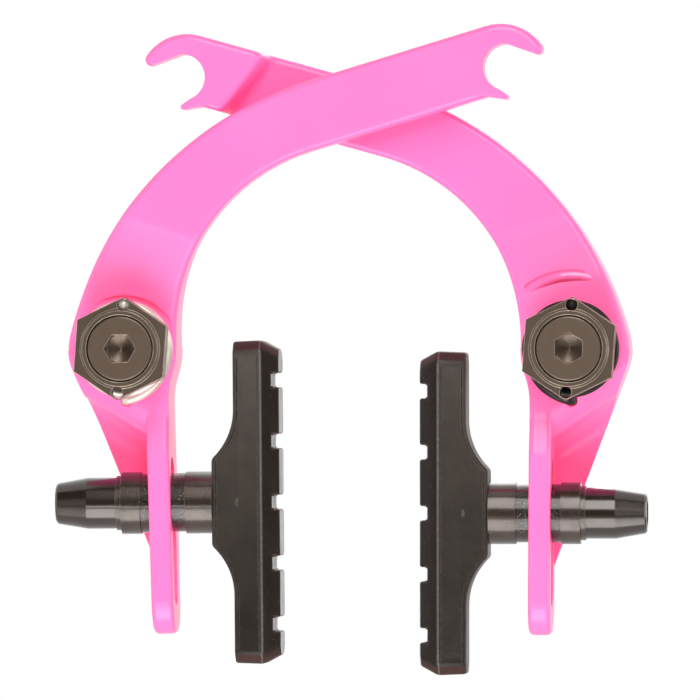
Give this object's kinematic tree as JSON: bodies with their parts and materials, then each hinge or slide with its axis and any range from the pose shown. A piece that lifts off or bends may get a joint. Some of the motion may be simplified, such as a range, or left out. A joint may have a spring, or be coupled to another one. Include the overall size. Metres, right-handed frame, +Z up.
{
  "type": "bicycle u-brake",
  "caption": "Rim brake for a bicycle: crossed forged arms on frame posts, sprung hex adjusters, open cable hooks and grooved pads on ball washers.",
  "frame": {"origin": "midway between the two pivot posts, in the plane of the posts' shoulders", "axes": "+X to the right seen from the front, +Y along the posts into the frame, +Z up towards the cable hooks"},
  "size_m": [0.1087, 0.0234, 0.1191],
  "materials": {
    "arm_paint": "glossy pink paint on a forging",
    "black_steel": "black oxide",
    "bare_steel": "turned",
    "bushing_bronze": "plain bearing",
    "spring_wire": "black wire",
    "bright_spring_wire": "bright wire",
    "pad_rubber": "moulded, matt"
  },
  "bodies": {
    "pivots": {"left_pivot_sleeve": "bare_steel", "left_spring": "bright_spring_wire", "left_spring_adjuster": "black_steel", "left_pivot_bolt": "black_steel", "right_pivot_sleeve": "bare_steel", "right_spring": "spring_wire", "right_spring_adjuster": "black_steel", "right_pivot_bolt": "black_steel"},
    "left_lever": {"left_arm": "arm_paint", "left_bushing": "bushing_bronze"},
    "left_domes": {"left_inner_dome_washer": "black_steel", "left_outer_dome_washer": "black_steel"},
    "left_cups": {"left_inner_cup_washer": "black_steel", "left_outer_cup_washer": "black_steel"},
    "left_shoe": {"left_pad": "pad_rubber", "left_pad_stud": "black_steel", "left_flat_washer": "black_steel", "left_pad_nut": "black_steel"},
    "right_lever": {"right_arm": "arm_paint", "right_bushing": "bushing_bronze"},
    "right_domes": {"right_inner_dome_washer": "black_steel", "right_outer_dome_washer": "black_steel"},
    "right_cups": {"right_inner_cup_washer": "black_steel", "right_outer_cup_washer": "black_steel"},
    "right_shoe": {"right_pad": "pad_rubber", "right_pad_stud": "black_steel", "right_flat_washer": "black_steel", "right_pad_nut": "black_steel"}
  },
  "joints": [
    {"name": "left_arm_swing", "type": "hinge", "parent": "pivots", "child": "left_lever", "pos_m": [-0.041, 0, 0], "axis": [0, -1, 0], "range_deg": [-10, 2.5], "stiffness_Nm_per_rad": 0.35, "deforming": ["left_spring"]},
    {"name": "left_pad_height", "type": "slide", "parent": "left_lever", "child": "left_domes", "axis": [-0.0304, 0, 0.9995], "range_m": [-0.0156, 0.0049]},
    {"name": "left_pad_toe", "type": "hinge", "parent": "left_domes", "child": "left_cups", "pos_m": [-0.03451, -0.009, -0.02822], "axis": [-0.0086, 0, 1], "range_deg": [-5, 5]},
    {"name": "left_pad_swivel", "type": "hinge", "parent": "left_cups", "child": "left_shoe", "pos_m": [-0.03451, -0.009, -0.02822], "axis": [1, 0, 0.0086], "continuous": true},
    {"name": "right_arm_swing", "type": "hinge", "parent": "pivots", "child": "right_lever", "pos_m": [0.041, 0, 0], "axis": [0, 1, 0], "range_deg": [-10, 2.5], "stiffness_Nm_per_rad": 0.35, "deforming": ["right_spring"]},
    {"name": "right_pad_height", "type": "slide", "parent": "right_lever", "child": "right_domes", "axis": [0.0061, 0, 1], "range_m": [-0.0139, 0.0066]},
    {"name": "right_pad_toe", "type": "hinge", "parent": "right_domes", "child": "right_cups", "pos_m": [0.03519, -0.009, -0.03007], "axis": [-0.0009, 0, 1], "range_deg": [-5, 5]},
    {"name": "right_pad_swivel", "type": "hinge", "parent": "right_cups", "child": "right_shoe", "pos_m": [0.03519, -0.009, -0.03007], "axis": [-1, 0, -0.0009], "continuous": true}
  ],
  "couplings": [
    {"joint": "right_arm_swing", "follows": "left_arm_swing", "ratio": 1}
  ]
}
